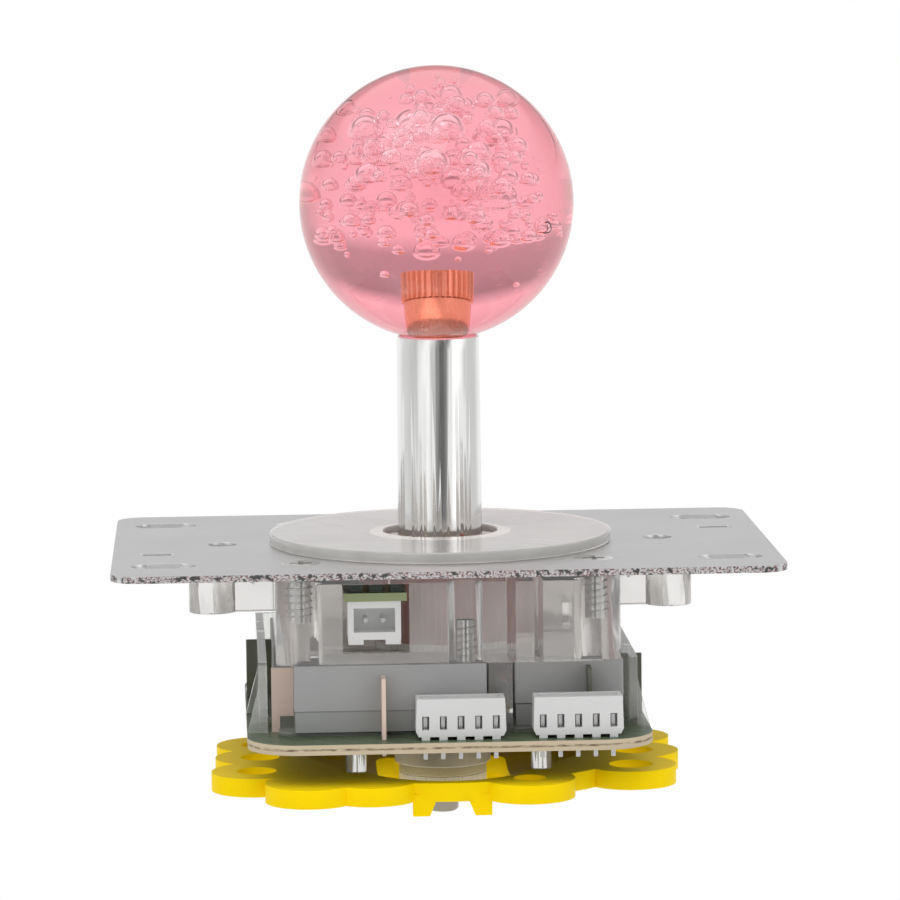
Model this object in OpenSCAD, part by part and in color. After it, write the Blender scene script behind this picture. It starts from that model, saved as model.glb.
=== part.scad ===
// Ball-top arcade joystick: a sprung lever on a ball joint, four switches and a gate.
// Millimetres. The origin is on the lever's axis at the top face of the mounting plate.
// +X is to the right, -Y is the side with the board headers, +Z is up toward the ball.

/* [Ball and lever] */
// Radius of the ball top
ball_r = 20.3; // [19:0.1:21]
// Height of the ball's centre above the plate
ball_z = 50.4; // [48:0.1:54]
// Number of bubbles cast into the ball
bubble_count = 34; // [10:1:40]
// Radius of the shaft cover at its foot
cover_r = 6.3; // [6:0.1:6.4]
// Radius of the steel shaft
shaft_r = 4; // [3.6:0.1:4]
// Radius of the stud at the shaft's lower end
stud_r = 2.35; // [2:0.05:2.4]
// Depth of the stud's tip below the plate
tip_depth = 40.7; // [38:0.1:43]

/* [Ball joint and spring] */
// Depth of the tilt centre below the plate
pivot_depth = 9.5; // [9.5:0.1:9.8]
// Radius of the pivot ball
pivot_r = 9.6; // [9.4:0.1:9.6]
// Thickness of the liner shell round the pivot ball
liner_t = 0.9; // [0.8:0.1:1]
// Running gap on each side of the liner
joint_gap = 0.05; // [0.03:0.01:0.08]
// Number of turns of the return spring
spring_turns = 5.5; // [4:0.5:7]
// Wire diameter of the return spring
spring_wire = 0.9; // [0.7:0.1:1]

/* [Plate and dust washer] */
// Width of the mounting plate
plate_w = 97; // [95:1:105]
// Depth of the mounting plate
plate_d = 65; // [62:1:70]
// Thickness of the mounting plate
plate_t = 1; // [1:0.1:1.2]
// Distance between slot centres across the plate
slot_dx = 82; // [80:0.5:83]
// Distance between slot centres along the plate
slot_dy = 44; // [43:0.5:50]
// Length of a mounting slot
slot_len = 9.4; // [8:0.1:10]
// Width of a mounting slot
slot_w = 4.6; // [4:0.1:5]
// Radius of the dust washer
washer_r = 25.4; // [24:0.1:26]
// Thickness of the dust washer
washer_t = 1.7; // [1.2:0.1:2]

/* [Housing and frame] */
// Half width of the upper housing
housing_half = 25; // [25:0.1:25.4]
// Depth of the housing's lower face below the plate
housing_depth = 14.5; // [14.5:0.1:14.8]
// Wall thickness of the upper housing
wall_t = 1.6; // [1.4:0.1:2]
// Half distance between plate screws
plate_screw_at = 21.2; // [21:0.1:21.5]
// Distance of an ear's hole from the axis
ear_at = 32.4; // [32:0.1:33]

/* [Switches] */
// Length of a switch case
switch_len = 27.8; // [27:0.1:28]
// Distance of a switch's inner face from the axis
switch_in = 9.5; // [9.5:0.1:9.6]
// Distance of a switch's outer face from the axis
switch_out = 25.3; // [25:0.1:25.4]
// Height of a switch, case and cover
switch_h = 9.7; // [9.6:0.1:9.9]
// Radius of a switch plunger
plunger_r = 1.5; // [1.3:0.1:1.5]
// Radius of the actuator sleeve
actuator_r = 7.6; // [7.4:0.1:7.6]

/* [Board and gate] */
// Half width of the circuit board
board_half = 29.3; // [29:0.1:30]
// Distance of the board's front edge from the axis
board_front = 32; // [31:0.1:33]
// Pitch of the header pins
pin_pitch = 2.54; // [2.5:0.01:2.54]
// Thickness of the gate
gate_t = 2.7; // [2.5:0.1:3]
// Radius of a gate lobe
lobe_r = 6.6; // [6.4:0.1:6.8]
// Depth that the gate's collar reaches below the plate
collar_depth = 37.2; // [36.6:0.1:37.3]
// Half width of the gate opening
gate_half = 9.8; // [9.8:0.1:10.2]

/* [Hidden] */
$fn = 64;
eps = 0.01;

// Lever heights
pivot_z = -pivot_depth;
cover_top = ball_z - ball_r + 0.75;
cover_foot = 0.5;
insert_r = 3.65;
insert_top = ball_z - 7;
knurl_h = 3;
lamp_seat_z = 38.5;
lamp_r = 1.5;
lamp_dome_z = 40.9;
neck_r = 6;
collar_open_r = 8.4;
pivot_up = 5.5;
pivot_down = 1.7;
liner_up = 5.9;
liner_down = 2.5;
liner_in = pivot_r + joint_gap;
liner_out = liner_in + liner_t;
socket_in = liner_out + joint_gap;
socket_r = 12.4;

// Levels below the plate, each the upper or lower face that its name says
housing_bottom = -housing_depth;
seat_top = housing_bottom + 1;
switch_bottom = housing_bottom - switch_h;
cover_joint_z = -21.1;
frame_floor_t = 0.6;
board_top = switch_bottom - frame_floor_t;
board_t = 1.5;
board_bottom = board_top - board_t;
gate_top = -31.1;
gate_bottom = gate_top - gate_t;
actuator_top = -17;
actuator_foot = -33.1;
spring_shelf = -23.6;
washer_steel_t = 2;
clip_t = 0.7;

// Switch layout: one switch runs along the front and the others are turned copies
switch_x0 = -22.5;
switch_mid = switch_x0 + switch_len / 2;
hole_inset = 2.9;
screw_hole = [switch_x0 + switch_len - hole_inset, -(switch_out - hole_inset)];
rear_hole = [switch_x0 + hole_inset, -(switch_in + hole_inset)];
plunger_z = -19.2;
plunger_tip = actuator_r + 0.1;
plunger_len = 5;
plunger_bore_len = 4.4;
blade_t = 0.6;
com_blade_y = -20.2;
com_reach = 3.2;
contact_x = -9.7;
contact_reach = 3.8;
SIDES = ["front", "right", "back", "left"];

// Places on the housing and the board
ring_wall_r = 13.9;
boss_r = 3;
screw_r = 1.4;
post_at = [13.5, 19];
post_r = 1.5;
header_x = [1.3, 18.2];
header_w = 13;
header_d = 4.3;
header_h = 6;
header_y = -28;
lamp_bay = [-15.4, -5.7];
lamp_board_z = [-5.5, -4.3];
lamp_mid = -10.7;
recess_w = 6;

// Gate lobes: place of the centre, and radius of the hole through it, 0 where it is solid
LOBES = [[-11.4, -26.3, 0], [-20.3, -27.1, 0], [-28, -17, 2.9], [-27.4, -5.8, 2.9],
         [-27.2, 4.5, 2.9], [-22.3, 20.8, 2.9], [-10.5, 26, 2.9], [10.5, 26, 2.9],
         [22.3, 20.8, 2.9], [27.9, 6.2, 2.9], [28.2, -5.8, 2.9], [26.8, -17.2, 3.2],
         [11.3, -26.6, 2.3]];
gate_base_r = 29.8;
gate_well_r = 21.5;
well_bay_r = 12.6;
well_bay_at = 15.4;

// Basic shapes

// Rectangle with round corners, centred
module round_rect(w, d, r) {
    square([w - 2 * r, d], center = true);
    square([w, d - 2 * r], center = true);
    for (x = [-1, 1], y = [-1, 1]) translate([x * (w / 2 - r), y * (d / 2 - r)]) circle(r);
}

// Flat shape raised between two heights
module slab(low, high) {
    translate([0, 0, low]) linear_extrude(high - low) children();
}

// Cylinder between two heights
module post(r, low, high) {
    translate([0, 0, low]) cylinder(r = r, h = high - low);
}

// Box from its lowest to its highest corner
module block(low, high) {
    translate(low) cube(high - low);
}

// Round-ended slot along X
module slot_shape(length, width) {
    square([length - width, width], center = true);
    for (x = [-1, 1]) translate([x * (length - width) / 2, 0]) circle(width / 2);
}

// Copies its children to the four quarter turns
module four_turns() {
    for (i = [0:3]) rotate(90 * i) children();
}

// Copies its children to the four corners of a rectangle
module four_corners(x, y) {
    for (sx = [-1, 1], sy = [-1, 1]) translate([sx * x, sy * y, 0]) children();
}

// Lever

// Bubbles lie on a spiral seen from above, and their heights and sizes follow slow waves
module bubbles() {
    spread = 15.6;
    for (i = [0:bubble_count - 1]) {
        reach = spread * sqrt((i + 0.5) / bubble_count);
        lift = sqrt(17 * 17 - reach * reach) * (0.22 + 0.6 * sin(i * 77));
        size = 0.55 + 0.75 * abs(sin(i * 53));
        rotate(137.508 * i) translate([reach, 0, max(lift, reach < 6 ? -3 : -9)])
            sphere(size, $fn = 24);
    }
}

module ball_top() color([1, 0.55, 0.62, 0.6]) difference() {
    translate([0, 0, ball_z]) sphere(ball_r, $fn = 96);
    translate([0, 0, ball_z - ball_r]) cylinder(r = 8, h = cover_top - ball_z + ball_r);
    post(insert_r, cover_top - 1, insert_top);
    translate([0, 0, ball_z]) bubbles();
}

module ball_insert() color("goldenrod") difference() {
    union() {
        post(insert_r, insert_top - knurl_h, insert_top);
        post(insert_r - 0.2, cover_top + 0.8, insert_top - 0.5);
        post(insert_r, cover_top, cover_top + 0.8);
    }
    post(2.6, cover_top - 1, insert_top - 0.8);
    for (i = [0:29]) rotate(12 * i) translate([insert_r + 0.1, 0, insert_top - knurl_h])
        rotate(45) cube([0.5, 0.5, 2 * knurl_h], center = true);
    for (i = [0:29]) rotate(12 * i) translate([insert_r + 0.1, 0, insert_top])
        rotate(45) cube([0.5, 0.5, 2 * knurl_h], center = true);
}

module lamp() color("orange") {
    post(lamp_r, lamp_seat_z, lamp_dome_z);
    translate([0, 0, lamp_dome_z]) intersection() {
        sphere(lamp_r, $fn = 32);
        post(lamp_r, 0, lamp_r);
    }
}

module shaft() color("silver") difference() {
    union() {
        post(2.6, cover_top - eps, lamp_seat_z);
        post(shaft_r, actuator_foot, cover_top);
        post(stud_r, -tip_depth + 0.4, actuator_foot + eps);
        translate([0, 0, -tip_depth]) cylinder(r1 = stud_r - 0.4, r2 = stud_r, h = 0.4);
    }
    post(1.2, -tip_depth - 1, lamp_seat_z + 1);
    difference() {
        post(4, actuator_foot - washer_steel_t - clip_t, actuator_foot - washer_steel_t);
        post(stud_r - 0.45, -tip_depth, 0);
    }
}

module shaft_cover() color("gainsboro") difference() {
    translate([0, 0, cover_foot])
        cylinder(r1 = cover_r, r2 = cover_r - 0.2, h = cover_top - cover_foot);
    post(shaft_r, cover_foot - 1, cover_top + 1);
}

module pivot() color("white") difference() {
    union() {
        intersection() {
            translate([0, 0, pivot_z]) sphere(pivot_r, $fn = 96);
            post(pivot_r + 1, pivot_z - pivot_down, pivot_z + pivot_up);
        }
        post(neck_r, pivot_z, cover_foot);
    }
    post(shaft_r, pivot_z - 10, 5);
}

module actuator() color([0.85, 0.85, 0.85, 0.6]) difference() {
    union() {
        post(actuator_r, -28, actuator_top - 0.6);
        translate([0, 0, actuator_top - 0.6])
            cylinder(r1 = actuator_r, r2 = actuator_r - 0.6, h = 0.6);
        post(actuator_r - 0.4, actuator_foot, -28);
    }
    post(6.5, spring_shelf, actuator_top + 1);
    post(shaft_r, actuator_foot - 1, spring_shelf + 1);
}

module retaining_washer() color("silver") difference() {
    post(6.6, actuator_foot - washer_steel_t, actuator_foot);
    post(stud_r, actuator_foot - 5, actuator_foot + 1);
}

module e_clip() color("dimgray") {
    top = actuator_foot - washer_steel_t;
    difference() {
        post(4.4, top - clip_t, top);
        post(stud_r - 0.45, top - 2, top + 1);
        block([-1.5, -6, top - 2], [1.5, 0, top + 1]);
        for (a = [30, 150]) rotate(a) translate([2.9, 0, top - 2]) cylinder(r = 0.8, h = 4);
    }
}

// Ball joint and spring

module pivot_liner() color("whitesmoke") difference() {
    intersection() {
        translate([0, 0, pivot_z]) sphere(liner_out, $fn = 96);
        post(liner_out + 1, pivot_z - liner_down, pivot_z + liner_up);
    }
    translate([0, 0, pivot_z]) sphere(liner_in, $fn = 96);
}

module pivot_socket() color([0.8, 0.1, 0.15, 0.8]) difference() {
    post(socket_r, pivot_z, -plate_t);
    translate([0, 0, pivot_z]) sphere(socket_in, $fn = 96);
    post(collar_open_r, pivot_z, 0);
}

module socket_cap() color([0.7, 0.1, 0.15, 0.8]) difference() {
    post(socket_r, seat_top, pivot_z);
    translate([0, 0, pivot_z]) sphere(socket_in, $fn = 96);
}

module spring_seat() color("white") difference() {
    post(socket_r, housing_bottom, seat_top);
    post(5.2, housing_bottom - 1, seat_top + 1);
}

// One ring of wire points at a step along the coil
function wire_ring(step, steps, low, high, coil_r) = [
    let (turn = 360 * spring_turns * step / steps, z = low + (high - low) * step / steps)
    for (k = [0:5]) let (a = 60 * k, r = coil_r + spring_wire / 2 * cos(a))
        [r * cos(turn), r * sin(turn), z + spring_wire / 2 * sin(a)]];

module spring() color("silver") {
    steps = 24 * spring_turns;
    low = spring_shelf + spring_wire / 2;
    high = housing_bottom - spring_wire / 2;
    points = [for (i = [0:steps]) each wire_ring(i, steps, low, high, 5.75)];
    last = 6 * steps;
    polyhedron(points, concat(
        [[for (k = [0:5]) k]],
        [for (i = [0:steps - 1], k = [0:5]) let (a = 6 * i + k, b = 6 * i + (k + 1) % 6)
            each [[a, a + 6, b], [b, a + 6, b + 6]]],
        [[for (k = [5:-1:0]) last + k]]));
}

// Plate and dust washer

module screw_cone(r) {
    translate([0, 0, -plate_t]) cylinder(r1 = screw_r, r2 = r, h = plate_t);
}

module mounting_plate() color("lightgray") difference() {
    slab(-plate_t, 0) difference() {
        round_rect(plate_w, plate_d, 4);
        circle(10.5);
        four_corners(slot_dx / 2, slot_dy / 2) slot_shape(slot_len, slot_w);
        for (x = [-1, 1]) translate([x * ear_at, 0]) circle(2.2);
        for (x = [-1, 1]) translate([x * 42, x * 10]) slot_shape(5.6, 1.6);
        four_corners(plate_screw_at, plate_screw_at) circle(screw_r);
    }
    four_corners(plate_screw_at, plate_screw_at) screw_cone(2.9);
}

module dust_washer() color([0.9, 0.9, 0.85, 0.6]) slab(0, washer_t) difference() {
    circle(washer_r, $fn = 96);
    circle(8.5);
}

module plate_screws() color("silver") four_corners(plate_screw_at, plate_screw_at) {
    difference() {
        screw_cone(2.9);
        block([-0.35, -1.6, -0.4], [0.35, 1.6, 1]);
        block([-1.6, -0.35, -0.4], [1.6, 0.35, 1]);
    }
    post(screw_r, -8.5, -plate_t + eps);
}

// Upper housing

// Ear that carries a stepped boss outside the housing wall
module ear() {
    web_top = -4.2;
    web_bottom = -10;
    difference() {
        union() {
            slab(web_top, -plate_t) for (x = [0, 2.2]) translate([ear_at + x, 0]) circle(4);
            block([housing_half - 1, -4, web_top], [ear_at + 2.2, 4, -plate_t]);
            post_x = ear_at + 1.6;
            translate([post_x, 0, 0]) post(3.5, web_bottom, web_top + eps);
            block([housing_half - 1, -1.2, web_bottom], [post_x, 1.2, web_top + eps]);
        }
        translate([ear_at, 0, 0]) post(1.6, web_bottom - 1, 0);
        translate([28, 0, web_top]) rotate([0, 45, 0]) cube([2.4, 9, 2.4], center = true);
    }
}

module housing_ribs() {
    for (x = [9.05, 13]) block([x - 0.65, -24, housing_bottom], [x + 0.65, -8, -plate_t]);
    block([-20, -24, housing_bottom], [-18.8, -9, -11]);
}

module upper_housing() color([0.82, 0.8, 0.8, 0.5]) difference() {
    union() {
        difference() {
            slab(housing_bottom, -plate_t) round_rect(2 * housing_half, 2 * housing_half, 3);
            slab(housing_bottom - 1, -plate_t - 1.8)
                round_rect(2 * (housing_half - wall_t), 2 * (housing_half - wall_t), 2);
        }
        post(ring_wall_r, housing_bottom, -plate_t);
        four_turns() housing_ribs();
        four_corners(plate_screw_at, plate_screw_at) post(boss_r, housing_bottom, -plate_t);
        four_turns() translate(screw_hole) post(2.6, housing_bottom, -plate_t);
        for (a = [0, 180]) rotate(a) ear();
    }
    post(socket_r, housing_bottom - 1, 0);
    four_corners(plate_screw_at, plate_screw_at) post(screw_r, -8.5, 0);
    four_turns() translate(screw_hole) post(screw_r, housing_bottom - 1, -8.4);
    block([lamp_bay[0], -30, -12.8], [lamp_bay[1], -housing_half + wall_t + eps, -2.8]);
}

// Lower frame

// Web that stands in the gap between two switches
module gap_web() {
    block([5.6, -24.8, board_top], [9.1, -11.3, housing_bottom]);
}

// Fin that props a side wall from the board
module gusset() {
    x = switch_out + 2.2;
    translate([0, 0.6, 0]) rotate([90, 0, 0]) linear_extrude(1.2)
        polygon([[x - 0.5, board_top], [x + 1.8, board_top], [x, -17.8], [x - 0.5, -17.8]]);
}

module lower_frame() color([0.78, 0.8, 0.78, 0.5]) {
    wall_in = switch_out + 1;
    wall_out = wall_in + 1.2;
    difference() {
        union() {
            slab(board_top, switch_bottom) difference() {
                union() {
                    round_rect(2 * switch_out - 1, 2 * switch_out - 1, 2);
                    translate([-wall_out, -15]) square([2 * wall_out, 35]);
                }
                circle(11);
            }
            four_turns() gap_web();
            for (x = [-1, 1]) block([x > 0 ? wall_in : -wall_out, -21, board_top],
                                    [x > 0 ? wall_out : -wall_in, wall_out, housing_bottom]);
            block([-wall_out, wall_in, board_top], [wall_out, wall_out, housing_bottom]);
            four_corners(post_at[0], post_at[1]) post(post_r, gate_top, board_top + eps);
            for (y = [-20.3, -4, 14]) translate([0, y, 0]) {
                gusset();
                rotate(180) gusset();
            }
        }
        four_turns() block([contact_x - 0.6, -wall_out - 3, board_top - 1],
                           [contact_x + 0.6, -switch_out + 0.1, -15.4]);
        four_turns() block([-wall_out - 3, com_blade_y - 0.6, board_top - 1],
                           [-24.2, com_blade_y + 0.6, -15]);
    }
}

module frame_screws() color("silver") four_turns() translate(screw_hole) {
    post(2.4, switch_bottom, switch_bottom + 1.4);
    post(screw_r, switch_bottom + 1, -8.4);
}

// Board, headers and gate

// Puts its children at the pin places of both headers
module pin_places(centres) {
    for (x = centres, i = [-2:2]) translate([x + pin_pitch * i, header_y - 0.4, 0]) children();
}

module circuit_board() color([0.2, 0.3, 0.2]) difference() {
    depth = board_front + board_half;
    slab(board_bottom, board_top) translate([0, (board_half - board_front) / 2])
        round_rect(2 * board_half, depth, 7.5);
    post(11.2, board_bottom - 1, board_top + 1);
    four_corners(post_at[0], post_at[1]) post(post_r + 0.1, board_bottom - 1, board_top + 1);
    pin_places(header_x) post(0.5, board_bottom - 1, board_top + 1);
    four_turns() {
        block([contact_x - 0.4, -28.9, board_bottom - 1], [contact_x + 0.4, -26.7, board_top + 1]);
        block([switch_x0 - com_reach - 0.2, com_blade_y - 0.4, board_bottom - 1],
              [-24.3, com_blade_y + 0.4, board_top + 1]);
    }
}

// Five-way header with sloping ends, windows for the pins and feet
module header(x) color("white") translate([x, header_y, board_top]) {
    difference() {
        translate([0, header_d / 2, 0]) rotate([90, 0, 0]) linear_extrude(header_d)
            polygon([[-header_w / 2 + 0.4, 0.5], [header_w / 2 - 0.4, 0.5],
                     [header_w / 2, 1.3], [header_w / 2 - 0.15, header_h],
                     [-header_w / 2 + 0.15, header_h], [-header_w / 2, 1.3]]);
        for (i = [-2:2]) translate([pin_pitch * i, 0, 0]) {
            block([-0.5, -header_d, 1.5], [0.5, -0.8, 3.5]);
            block([-0.5, -0.9, -1], [0.5, 0.1, header_h - 1.6]);
        }
        block([-header_w / 2 + 0.8, -0.9, 3.4], [header_w / 2 - 0.8, 1.4, header_h + 1]);
    }
    for (i = [-2:2]) block([pin_pitch * i - 0.6, -header_d / 2, 0],
                           [pin_pitch * i + 0.6, -header_d / 2 + 0.8, 0.5 + eps]);
}

module header_pins(x) color("silver") pin_places([x])
    block([-0.32, -0.32, board_bottom - 1.5], [0.32, 0.32, board_top + 3.2]);

module gate_outline() {
    circle(gate_base_r, $fn = 96);
    for (l = LOBES) translate([l[0], l[1]]) circle(lobe_r);
}

// Bays that widen the well toward the front and the back
module well_bays() {
    for (y = [-1, 1]) translate([0, y * well_bay_at]) circle(well_bay_r);
}

// Foot under the rim, upright outside and sloping inside
module gate_foot() {
    translate([0, -27.8, gate_bottom]) rotate([90, 0, 0]) linear_extrude(1.8)
        polygon([[5.7, -2.1], [5.7, 1], [1.9, 1], [2.4, 0], [3.3, -2.1]]);
}

module gate() color("gold") difference() {
    union() {
        slab(gate_bottom, gate_top) difference() {
            gate_outline();
            circle(gate_well_r);
            well_bays();
            for (l = LOBES) if (l[2] > 0) translate([l[0], l[1]]) circle(l[2]);
        }
        slab(gate_bottom, gate_bottom + 0.9) difference() {
            well_bays();
            circle(gate_well_r);
        }
        rotate_extrude($fn = 96) polygon([[gate_well_r + 1, gate_bottom],
            [gate_well_r + 1, gate_bottom + 0.9], [gate_well_r, gate_top - 1.5],
            [8.5, gate_top - 4.1], [8.5, gate_bottom - 2.6]]);
        slab(-collar_depth, gate_bottom - 1.2) round_rect(2 * gate_half + 2.4,
                                                          2 * gate_half + 2.4, 4.2);
        for (a = [0, 180]) rotate(a) {
            gate_foot();
            mirror([1, 0, 0]) gate_foot();
        }
    }
    slab(gate_bottom - 5, gate_top + 1) round_rect(2 * gate_half, 2 * gate_half, 3);
}

// Switches, drawn as the front one

module switch_holes() {
    for (h = [screw_hole, rear_hole]) translate(h)
        post(screw_r, switch_bottom - 1, housing_bottom + 1);
}

module switch_case() color("darkgray") difference() {
    block([switch_x0, -switch_out, cover_joint_z],
          [switch_x0 + switch_len, -switch_in, housing_bottom]);
    switch_holes();
    translate([0, -switch_in + 1, plunger_z]) rotate([90, 0, 0])
        cylinder(r = plunger_r + 0.05, h = plunger_bore_len + 1);
}

module switch_cover() color("gray") difference() {
    block([switch_x0 + 0.15, -switch_out + 0.15, switch_bottom],
          [switch_x0 + switch_len - 0.15, -switch_in - 0.15, cover_joint_z]);
    switch_holes();
    translate(screw_hole) post(2.4, switch_bottom - 1, switch_bottom + 1.4);
}

module switch_terminals() color("rosybrown") {
    block([switch_x0 - com_reach, com_blade_y - blade_t / 2, -22.5],
          [switch_x0, com_blade_y + blade_t / 2, -15.4]);
    block([switch_x0 - com_reach, com_blade_y - blade_t / 2, board_bottom - 0.9],
          [-24.5, com_blade_y + blade_t / 2, -22.5 + eps]);
    block([contact_x - blade_t / 2, -switch_out - contact_reach, board_top],
          [contact_x + blade_t / 2, -switch_out, -15.9]);
    block([contact_x - blade_t / 2, -28.7, board_bottom - 0.9],
          [contact_x + blade_t / 2, -27, board_top + eps]);
}

module plunger() color("firebrick") translate([0, -plunger_tip, plunger_z])
    rotate([90, 0, 0]) rotate_extrude($fn = 32) intersection() {
        union() {
            translate([0, plunger_r]) circle(plunger_r);
            translate([0, plunger_r]) square([plunger_r, plunger_len - plunger_r]);
        }
        square([plunger_r, plunger_len]);
    }

// Lamp board in its bay

module lamp_board() color([0.55, 0.6, 0.4])
    block([lamp_bay[0] + 0.3, -23.2, lamp_board_z[0]], [lamp_bay[1] - 0.3, -14.6, lamp_board_z[1]]);

module lamp_board_parts() color("black") for (i = [0:2])
    block([lamp_bay[0] + 1 + 3 * i, -22.8, lamp_board_z[1]],
          [lamp_bay[0] + 3 + 3 * i, -20.5, lamp_board_z[1] + 1.3]);

module lamp_header() color("white") difference() {
    union() {
        block([lamp_mid - 3.85, -22.6, -11.2], [lamp_mid + 3.85, -17.2, lamp_board_z[0]]);
        for (x = [-1, 1]) block([lamp_mid + x * 2.7 - 1.1, -22.6, -11.9],
                                [lamp_mid + x * 2.7 + 1.1, -18, -11.1]);
    }
    block([lamp_mid - recess_w / 2, -23, -10.1], [lamp_mid + recess_w / 2, -18.6, -6.6]);
}

module lamp_header_pins() color("silver") for (x = [-1.25, 1.25])
    block([lamp_mid + x - 0.3, -21.6, -8.8], [lamp_mid + x + 0.3, -18.6, -8.2]);

// Nodes

ball_top();
ball_insert();
lamp();
shaft();
shaft_cover();
pivot();
actuator();
retaining_washer();
e_clip();
pivot_liner();
mounting_plate();
dust_washer();
plate_screws();
upper_housing();
pivot_socket();
socket_cap();
spring_seat();
spring();
lower_frame();
frame_screws();
circuit_board();
gate();
header(header_x[0]);  // header_left
header(header_x[1]);  // header_right
header_pins(header_x[0]);  // header_left_pins
header_pins(header_x[1]);  // header_right_pins
lamp_board();
lamp_board_parts();
lamp_header();
lamp_header_pins();
for (i = [0:3]) {
    rotate(90 * i) switch_case();
    rotate(90 * i) switch_cover();
    rotate(90 * i)
        switch_terminals();
    rotate(90 * i) plunger();
}
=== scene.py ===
import math
import random

import bpy
from bpy.props import FloatProperty, FloatVectorProperty, IntProperty, PointerProperty
from mathutils import Matrix, Vector


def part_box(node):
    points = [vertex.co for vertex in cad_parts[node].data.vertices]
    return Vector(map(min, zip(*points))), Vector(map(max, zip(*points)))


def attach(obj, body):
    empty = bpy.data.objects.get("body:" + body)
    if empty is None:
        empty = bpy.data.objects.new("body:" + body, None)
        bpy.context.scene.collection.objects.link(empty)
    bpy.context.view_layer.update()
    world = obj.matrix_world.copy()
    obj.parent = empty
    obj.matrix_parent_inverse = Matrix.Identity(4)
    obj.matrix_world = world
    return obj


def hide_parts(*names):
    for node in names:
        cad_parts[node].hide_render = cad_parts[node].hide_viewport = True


bl_info = {
    "name": "Arcade joystick",
    "version": (1, 0, 0),
    "blender": (4, 5, 0),
    "location": "View3D > Sidebar > Joystick",
    "description": "Dresses the arcade joystick and sets its stage",
    "category": "Object",
}

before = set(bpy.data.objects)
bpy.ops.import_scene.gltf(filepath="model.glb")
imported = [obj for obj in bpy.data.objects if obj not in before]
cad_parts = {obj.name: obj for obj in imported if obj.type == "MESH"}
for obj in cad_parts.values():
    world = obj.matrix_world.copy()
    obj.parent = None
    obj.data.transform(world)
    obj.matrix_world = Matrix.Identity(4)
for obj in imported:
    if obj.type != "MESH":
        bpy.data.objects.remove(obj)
MM = 0.001
# Edges that turn by more than this are rounded
CORNER = math.radians(40)


# Settings

def length(name, text, default):
    return FloatProperty(name=name, description=text, default=default, min=0.0, unit="LENGTH",
                         precision=5)


def colour(name, text, default):
    return FloatVectorProperty(name=name, description=text, default=default, size=3, min=0.0,
                               max=1.0, subtype="COLOR")


class BallSettings(bpy.types.PropertyGroup):
    radius: length("Radius", "Radius of the cast ball", 0.0203)
    centre: length("Centre height", "Height of the ball's centre above the plate", 0.0504)
    foot: length("Foot height", "Height of the ball's flat foot above the plate", 0.03087)
    small_count: IntProperty(name="Small bubbles", default=210, min=0, max=400,
                             description="Number of small bubbles scattered in the ball")
    tint: colour("Tint", "Colour that the resin lets through", (1.0, 0.56, 0.64))
    skin: colour("Skin", "Colour of the ball's outer surface", (1.0, 0.80, 0.83))
    # Painted shade: a darker colour for the ball's edge, where its skin is seen at a slant
    rim: colour("Rim", "Colour of the ball's skin seen at a slant", (0.80, 0.30, 0.32))
    depth: FloatProperty(name="Colour depth", default=44.0, min=0.0, max=400.0,
                         description="How strongly a metre of the resin absorbs light")
    lamp: colour("Lamp", "Colour of the lamp's glass", (0.98, 0.93, 0.85))


class LeverSettings(bpy.types.PropertyGroup):
    plated: colour("Plated steel", "Colour of the plated cover and screws",
                   (0.84, 0.84, 0.825))
    steel: colour("Steel", "Colour of the bare steel", (0.33, 0.295, 0.235))
    brass: colour("Brass", "Colour of the threaded insert", (0.95, 0.62, 0.33))
    # Painted light: near-white and mostly not metallic, standing in for the bright silver sheen of
    # the steel washer in the board's shade
    cup: colour("Cup washer", "Colour of the cup washer", (1.0, 0.99, 0.96))
    seat: colour("Seat", "Colour of the plastic seat above the cup washer", (0.80, 0.73, 0.52))
    white: colour("White plastic", "Colour of the pivot, its liner and the spring's seat",
                  (0.80, 0.80, 0.78))
    red: colour("Clear red", "Colour of the socket round the pivot", (0.62, 0.20, 0.17))
    milky: colour("Actuator", "Colour of the milky sleeve of the actuator", (0.95, 0.90, 0.79))


class PlateSettings(bpy.types.PropertyGroup):
    zinc: colour("Zinc", "Colour of the plate's faces", (0.70, 0.70, 0.705))
    edge: colour("Sheared edge", "Colour of the flecks in the sheared edge", (0.20, 0.09, 0.085))
    sheet: colour("Washer", "Colour of the dust washer", (0.95, 0.945, 0.91))
    thread_pitch: length("Thread pitch", "Pitch of the screws in the plastic", 0.0010)
    thread_radius: length("Thread radius", "Outer radius of the screws' threads", 0.00165)


class HousingSettings(bpy.types.PropertyGroup):
    clear: colour("Clear plastic", "Colour of the upper housing", (0.98, 0.965, 0.95))
    smoky: colour("Frame", "Colour of the lower frame", (0.97, 0.97, 0.95))
    edge_round: length("Edge radius", "Radius on the housing's edges", 0.00028)


class SwitchSettings(bpy.types.PropertyGroup):
    case: colour("Case", "Colour of the switch cases", (0.365, 0.365, 0.365))
    cover: colour("Cover", "Colour of the switch covers", (0.325, 0.33, 0.325))
    blade: colour("Blade", "Colour of the terminal blades", (0.74, 0.58, 0.50))
    # Painted shade and painted reflection: the side switches' blades are the same metal as the
    # front and back ones, painted dark green for the shade they sit in and the green board they
    # reflect
    dull: colour("Shaded blade", "Colour of the side switches' blades", (0.14, 0.15, 0.115))
    plunger: colour("Plunger", "Colour of the plungers", (0.45, 0.03, 0.03))


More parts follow.
